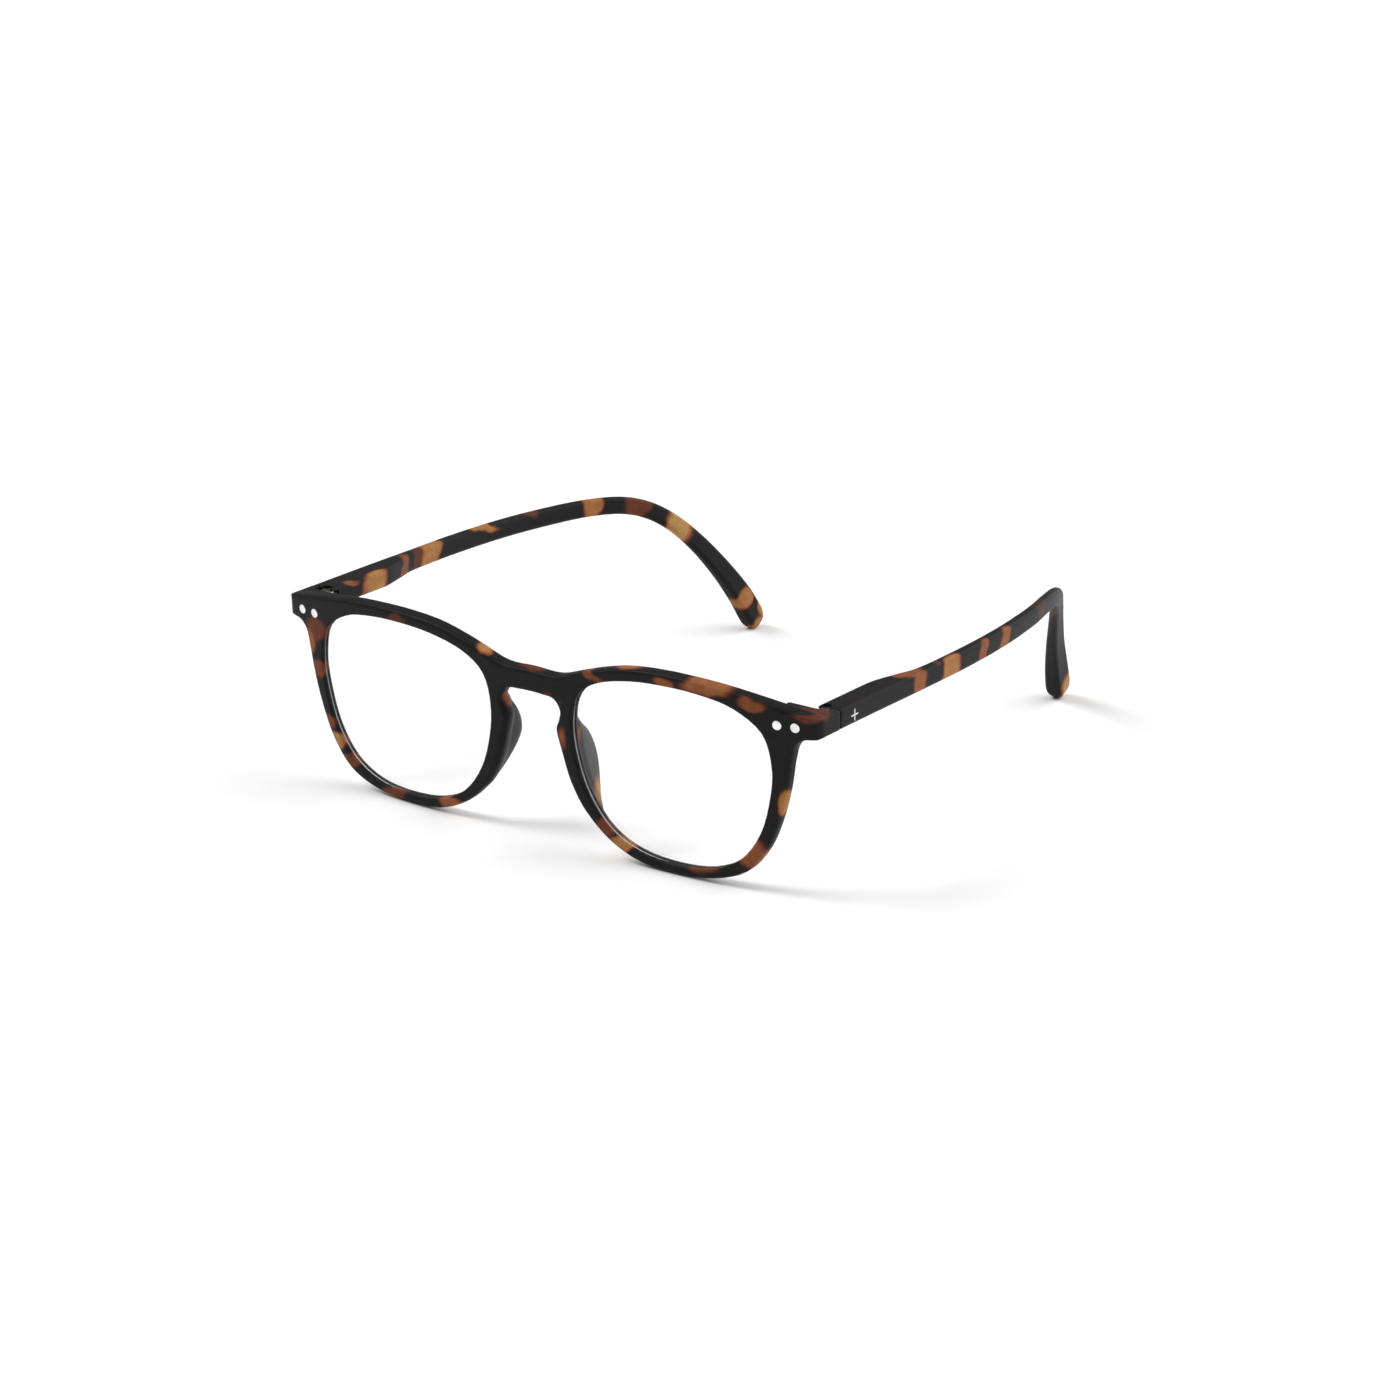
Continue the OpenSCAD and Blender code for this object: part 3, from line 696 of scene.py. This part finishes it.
def section(thick, high, r):
    """A rounded rectangle, with points along its flat sides too."""
    out = []
    corners = [(1, 1), (-1, 1), (-1, -1), (1, -1)]
    mid_x, mid_z = thick / 2 - r, high / 2 - r
    for c, (sx, sz) in enumerate(corners):
        a = np.radians(c * 90 + np.linspace(0, 90, CORNER_STEPS))
        arc = np.stack([sx * mid_x + r * np.cos(a), sz * mid_z + r * np.sin(a)], 1)
        nx, nz = corners[(c + 1) % 4]
        following = np.array([nx * mid_x + r * math.cos(a[-1]), nz * mid_z + r * math.sin(a[-1])])
        flat = [arc[-1] + (following - arc[-1]) * t for t in (0.12, 0.5, 0.88)]
        out += [*arc, *flat]
    return np.array(out)


def temple_points():
    """Rings along the right temple, from the butt end to the tip."""
    path = smooth_curve(TEMPLE, PER_SPAN)
    line = np.stack([HALF_WIDTH - path[:, 2] - path[:, 3] / 2, path[:, 0], path[:, 1]], 1)
    way = np.gradient(line, axis=0)
    way /= np.linalg.norm(way, axis=1)[:, None]
    way[0] = (0, 1, 0)
    tip = TIP_SPANS * PER_SPAN
    rings = []
    for ahead, inset in BUTT_EDGE:
        rings.append((line[0] + (0, ahead, 0), way[0], path[0, 3] - 2 * inset,
                      path[0, 4] - 2 * inset))
    for i in range(1, len(path)):
        share = max(0.0, (i - (len(path) - 1 - tip)) / tip)
        size = max(TIP_LEAST, (1 - share ** TIP_LATE) ** TIP_ROUND)
        rings.append((line[i], way[i], path[i, 3] * size, path[i, 4] * size))
    points = []
    for centre, along, thick, high in rings:
        up = np.array([0, -along[2], along[1]])
        up /= np.linalg.norm(up)
        across = np.cross(along, up)
        s = section(thick, high, min(EDGE_R, 0.49 * thick, 0.49 * high))
        points.append(centre + s[:, :1] * across + s[:, 1:] * up)
    count = len(points[0])
    points = np.concatenate(points)
    # The outer face is trimmed for the mark, and the tips stay inside the CAD's box
    points[:, 0] = np.minimum(points[:, 0], OUTER_FACE_X)
    points[:, 1] = np.minimum(points[:, 1], cad_high.y / MM + PLAN_MIDDLE_Y)
    points[:, 2] = np.maximum(points[:, 2], cad_low.z / MM)
    return points, len(rings), count


def as_mesh(bm):
    """The edited shape as a mesh for a cutter."""
    mesh = bpy.data.meshes.new("cutter")
    bm.to_mesh(mesh)
    bm.free()
    return mesh


def box_mesh(low, high):
    """A box between two corners."""
    bm = bmesh.new()
    bmesh.ops.create_cube(bm, size=1)
    middle, size = (Vector(low) + Vector(high)) / 2, Vector(high) - Vector(low)
    for v in bm.verts:
        v.co = Vector(a * b for a, b in zip(v.co, size)) + middle
    return as_mesh(bm)


def round_mesh(centre, r, height):
    """An upright cylinder."""
    bm = bmesh.new()
    bmesh.ops.create_cone(
        bm, cap_ends=True, segments=48, radius1=r, radius2=r, depth=height)
    for v in bm.verts:
        v.co += Vector(centre)
    return as_mesh(bm)


def temple_cutters(sign):
    """The knuckles' pocket, the cassette's slot, and the hole over the screw."""
    pocket = (
        (CHEEK_X - POCKET_WIDTH, 0, HINGE_Z - POCKET_HEIGHT / 2),
        (CHEEK_X, AXIS_Y + KNUCKLE_ROOM, HINGE_Z + POCKET_HEIGHT / 2))
    slot = (
        (AXIS_X - SLOT_HALF_WIDTH, AXIS_Y, HINGE_Z - SLOT_HALF_HEIGHT),
        (AXIS_X + SLOT_HALF_WIDTH, AXIS_Y + SLOT_LENGTH, HINGE_Z + SLOT_HALF_HEIGHT))
    shapes = []
    for low, high in (pocket, slot):
        a, b = in_row(np.array(low) * (sign, 1, 1)), in_row(np.array(high) * (sign, 1, 1))
        shapes.append(box_mesh(np.minimum(a, b), np.maximum(a, b)))
    middle = in_row((AXIS_X * sign, AXIS_Y, HINGE_Z + SCREW_HOLE_HEIGHT / 2))
    shapes.append(round_mesh(middle, SCREW_HOLE_R * MM, SCREW_HOLE_HEIGHT * MM))
    return shapes


def cut(obj, shapes):
    """Takes the shapes out of the piece and keeps the result as its mesh."""
    cutters = []
    for shape in shapes:
        cutter = bpy.data.objects.new("cutter", shape)
        bpy.context.scene.collection.objects.link(cutter)
        cutter.hide_render = True
        modifier = obj.modifiers.new("cut", "BOOLEAN")
        modifier.operation = "DIFFERENCE"
        modifier.solver = "EXACT"
        modifier.object = cutter
        cutters.append(cutter)
    bpy.context.view_layer.update()
    evaluated = obj.evaluated_get(bpy.context.evaluated_depsgraph_get())
    mesh = bpy.data.meshes.new_from_object(evaluated)
    obj.modifiers.clear()
    obj.data = mesh
    for cutter in cutters:
        bpy.data.objects.remove(cutter)


temple_shades = {
    "right": shell_material("tortoiseshell_right", RIGHT_PATCHES, TEMPLE_SLANT),
    "left": shell_material("tortoiseshell_left", LEFT_PATCHES, TEMPLE_SLANT),
}
for side, sign in SIDES.items():
    p, rings, count = temple_points()
    p, faces = on_side(sign, p, sweep_faces(rings, count))
    temple = piece(f"{side}_temple_arm", in_row(p), faces, f"{side}_temple", "tortoiseshell",
                   f"{side}_temple")
    cut(temple, temple_cutters(sign))
    temple.data.shade_smooth()
    temple.data.set_sharp_from_angle(angle=math.radians(35))
    temple.data.materials.clear()
    temple.data.materials.append(temple_shades[side])

# ---------- Generic mark ----------

MARK_Y, MARK_Z = 16.0, 38.5
MARK_REACH, MARK_ARM = 1.3, 0.17
# The inner corner's distance from the middle, in half widths of an arm
MARK_INNER_CORNER = 1.42
# How far each layer stands out of the temple's face, and its size
MARK_PROUD = 0.012
MARK_LAYERS = [(-0.1, 1.0), (MARK_PROUD * 0.6, 1.0), (MARK_PROUD, 0.97)]


def mark_points(reach, arm):
    """A plus sign with rounded ends, from its reach and half the width of an arm."""
    out = []
    for quarter in range(4):
        turn = quarter * 90
        for a in np.radians(np.linspace(-90, 90, 7)):
            x, z = reach - arm + arm * math.cos(a), arm * math.sin(a)
            c, s = math.cos(math.radians(turn)), math.sin(math.radians(turn))
            out.append((x * c - z * s, x * s + z * c))
        c, s = math.cos(math.radians(turn + 45)), math.sin(math.radians(turn + 45))
        out.append((arm * MARK_INNER_CORNER * c, arm * MARK_INNER_CORNER * s))
    return np.array(out)


mark_shape = mark_points(MARK_REACH, MARK_ARM)
layers = []
for out, grow in MARK_LAYERS:
    layers.append(np.stack([
        np.full(len(mark_shape), OUTER_FACE_X + out), MARK_Y + mark_shape[:, 0] * grow,
        MARK_Z + mark_shape[:, 1] * grow], 1))
mark = piece(
    "right_temple_mark", in_row(np.concatenate(layers)),
    sweep_faces(len(layers), len(mark_shape)), "right_temple", "rivet")
mark.data.set_sharp_from_angle(angle=math.radians(30))
ink, shader = speckled(
    "mark_print", 5.0, 3.0, (0.3, (0.62, 0.62, 0.61)), (0.7, (0.8, 0.8, 0.79)))
shader.inputs["Roughness"].default_value = 0.5
mark.data.materials.append(ink)

# ---------- Hinge metal on the CAD nodes ----------

NODE_METALS = {
    "front_hinge_leaf": metal_material("hinge_nickel", (0.5, 0.47, 0.41), 0.36, (1, 1, 3)),
    "hinge_screw": metal_material("screw_steel", (0.74, 0.74, 0.72), 0.3),
    "hinge_carriage": metal_material("carriage_nickel", (0.52, 0.49, 0.42), 0.34, (3, 0.6, 3)),
    "rod_nut": metal_material("nut_brass", (0.75, 0.55, 0.27), 0.3),
    "hinge_spring": metal_material("spring_steel", (0.66, 0.67, 0.69), 0.25),
    "spring_cassette": metal_material("cassette_steel", (0.56, 0.55, 0.52), 0.38, (3, 0.5, 3)),
}
for side in SIDES:
    for kind, metal in NODE_METALS.items():
        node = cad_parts[f"{side}_{kind}"]
        node.data.materials.clear()
        node.data.materials.append(metal)

# ---------- Floor, light and camera ----------

FLOOR_REACH, FLOOR_GAP = 6.0, 0.00002
floor_mesh = bpy.data.meshes.new("floor")
floor_mesh.from_pydata(
    [(x * FLOOR_REACH, y * FLOOR_REACH, 0) for x, y in ((-1, -1), (1, -1), (1, 1), (-1, 1))], [],
    [(0, 1, 2, 3)])
floor = bpy.data.objects.new("floor", floor_mesh)
bpy.context.scene.collection.objects.link(floor)
floor.location.z = float(cad_low.z) - FLOOR_GAP
paper, shader = speckled(
    "floor_paper", 0.01, 2.0, (0.2, (0.93, 0.93, 0.93)), (0.8, (0.95, 0.95, 0.95)))
shader.inputs["Roughness"].default_value = 0.9
shader.inputs["Specular IOR Level"].default_value = 0.0
floor.data.materials.append(paper)

# The world is white to the camera, and lights the scene more weakly
WORLD_LIGHT, WORLD_SEEN = 0.25, 1.0
world = bpy.data.worlds.new("studio")
bpy.context.scene.world = world
world.use_nodes = True
tree = world.node_tree
light = tree.nodes["Background"]
light.inputs["Color"].default_value = (1, 1, 1, 1)
light.inputs["Strength"].default_value = WORLD_LIGHT
seen = add(tree, "ShaderNodeBackground")
seen.inputs["Strength"].default_value = WORLD_SEEN
seen.inputs["Color"].default_value = (1, 1, 1, 1)
path = add(tree, "ShaderNodeLightPath")
mix = add(tree, "ShaderNodeMixShader")
tree.links.new(path.outputs["Is Camera Ray"], mix.inputs["Fac"])
tree.links.new(light.outputs["Background"], mix.inputs[1])
tree.links.new(seen.outputs["Background"], mix.inputs[2])
tree.links.new(mix.outputs["Shader"], tree.nodes["World Output"].inputs["Surface"])


def sun(name, azimuth, elevation, strength, spread):
    """A soft, even light from a direction, in degrees. Azimuth 0 is in front (-Y) and 90 on the
    +X side. The spread is the light's own width, which softens its shadow."""
    data = bpy.data.lights.new(name, "SUN")
    data.energy = strength
    data.angle = math.radians(spread)
    obj = bpy.data.objects.new(name, data)
    a, e = math.radians(azimuth), math.radians(elevation)
    towards = Vector((math.sin(a) * math.cos(e), -math.cos(a) * math.cos(e), math.sin(e)))
    obj.rotation_euler = towards.to_track_quat("Z", "Y").to_euler()
    bpy.context.scene.collection.objects.link(obj)


sun("key", -60, 50, 1.6, 26)
sun("fill", 120, 50, 0.5, 60)
sun("rim", 138, 14, 2.7, 100)
sun("top", 0, 88, 0.45, 60)

# The camera looks at TARGET. Its azimuth and elevation count as the lights' do
TARGET = Vector((43.0, 0.2 - PLAN_MIDDLE_Y, 40.5)) * MM
DISTANCE, FOCAL_LENGTH, SENSOR_WIDTH = 0.889, 111.3, 36
AZIMUTH, ELEVATION = math.radians(35.7), math.radians(19.65)
camera_data = bpy.data.cameras.new("camera")
camera_data.sensor_width = SENSOR_WIDTH
camera_data.lens = FOCAL_LENGTH
camera_data.clip_start = 0.01
camera_data.clip_end = 100
camera = bpy.data.objects.new("camera", camera_data)
back = Vector((math.sin(AZIMUTH) * math.cos(ELEVATION), -math.cos(AZIMUTH) * math.cos(ELEVATION),
               math.sin(ELEVATION)))
camera.location = TARGET + back * DISTANCE
camera.rotation_mode = "QUATERNION"
camera.rotation_quaternion = (-back).to_track_quat("-Z", "Y")
bpy.context.scene.collection.objects.link(camera)
bpy.context.scene.camera = camera
bpy.context.scene.view_settings.view_transform = "Standard"

bpy.context.view_layer.update()
